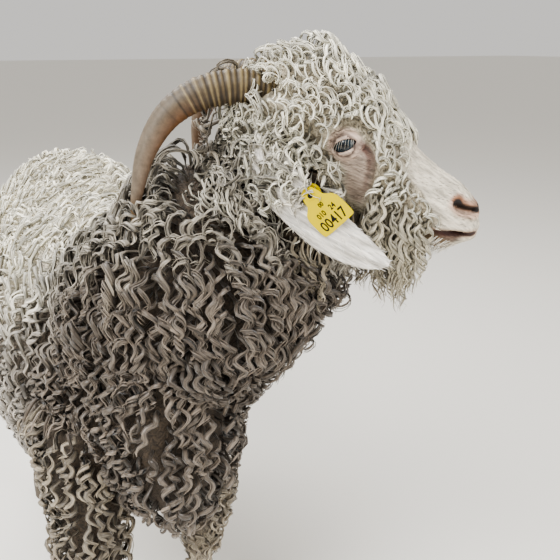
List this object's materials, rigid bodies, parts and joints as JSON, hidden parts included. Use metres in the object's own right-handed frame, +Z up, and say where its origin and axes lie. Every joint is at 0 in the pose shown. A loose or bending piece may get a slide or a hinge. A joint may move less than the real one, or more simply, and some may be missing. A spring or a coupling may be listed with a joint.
{
  "type": "angora goat",
  "caption": "Standing angora goat doe in curly fleece, head turned to its left, with swept-back horns and a yellow flag tag in the right ear.",
  "frame": {"origin": "on the floor, under the middle of the goat's box", "axes": "+X towards the chest, +Y to the goat's left, +Z up"},
  "size_m": [0.9058, 0.4762, 0.8626],
  "materials": {
    "fleece": "grey-cream mohair locks",
    "head_fleece": "cream mohair curls and short face hair",
    "short_hair": "short pale hair",
    "horn": "ringed tan horn",
    "hoof": "dull dark horn",
    "eye": "wet, dark blue-grey",
    "tag": "moulded yellow"
  },
  "bodies": {
    "root": {"claw_fore_left_inner": "hoof", "claw_fore_left_outer": "hoof", "claw_fore_right_inner": "hoof", "claw_fore_right_outer": "hoof", "claw_hind_left_inner": "hoof", "claw_hind_left_outer": "hoof", "claw_hind_right_inner": "hoof", "claw_hind_right_outer": "hoof", "ear_left": "short_hair", "ear_right": "short_hair", "eye_left": "eye", "eye_right": "eye", "foreleg_left_shank": "short_hair", "foreleg_left_upper": "fleece", "foreleg_right_shank": "short_hair", "foreleg_right_upper": "fleece", "head": "head_fleece", "hindleg_left_shank": "short_hair", "hindleg_left_upper": "fleece", "hindleg_right_shank": "short_hair", "hindleg_right_upper": "fleece", "horn_left": "horn", "horn_right": "horn", "neck": "fleece", "tag_button": "tag", "tag_plate": "tag", "tail": "fleece", "torso": "fleece"}
  },
  "joints": []
}
